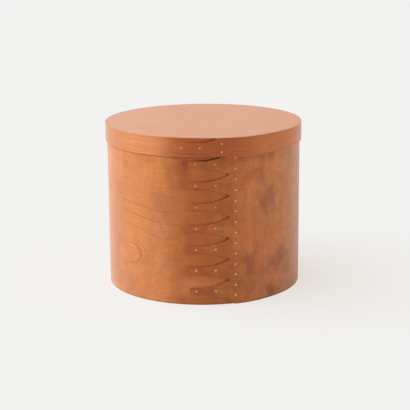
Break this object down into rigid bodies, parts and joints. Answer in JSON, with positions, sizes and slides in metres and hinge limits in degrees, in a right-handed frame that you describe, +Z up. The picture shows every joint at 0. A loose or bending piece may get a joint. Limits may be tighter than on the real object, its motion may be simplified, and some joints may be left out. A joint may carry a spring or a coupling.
{
  "type": "bentwood storage box",
  "caption": "Tall round lidded box of thin bent wooden bands, lapped at the front with pointed fingers and fastened with small copper tacks; the lid lifts off.",
  "frame": {"origin": "on the box's axis, at the underside of the bottom board", "axes": "+Z up along the axis, towards the lid; -Y is the front, where the bands lap"},
  "size_m": [0.25, 0.2537, 0.208],
  "materials": {
    "band_wood": "oiled, satin, warm red-brown",
    "board_wood": "oiled, satin, paler",
    "peg_wood": "end grain, oiled",
    "copper": "burnished copper"
  },
  "bodies": {
    "box": {"body_band": "band_wood", "bottom_board": "board_wood", "bottom_pegs": "peg_wood", "finger_tip_tacks": "copper", "finger_waist_tacks": "copper", "finger_root_tacks": "copper"},
    "lid": {"lid_band": "band_wood", "lid_board": "board_wood", "lid_pegs": "peg_wood", "lid_finger_tacks": "copper", "lid_root_tacks": "copper"}
  },
  "joints": [
    {"name": "lid_lift", "type": "slide", "parent": "box", "child": "lid", "axis": [0, 0, 1], "range_m": [0, 0.25]}
  ]
}
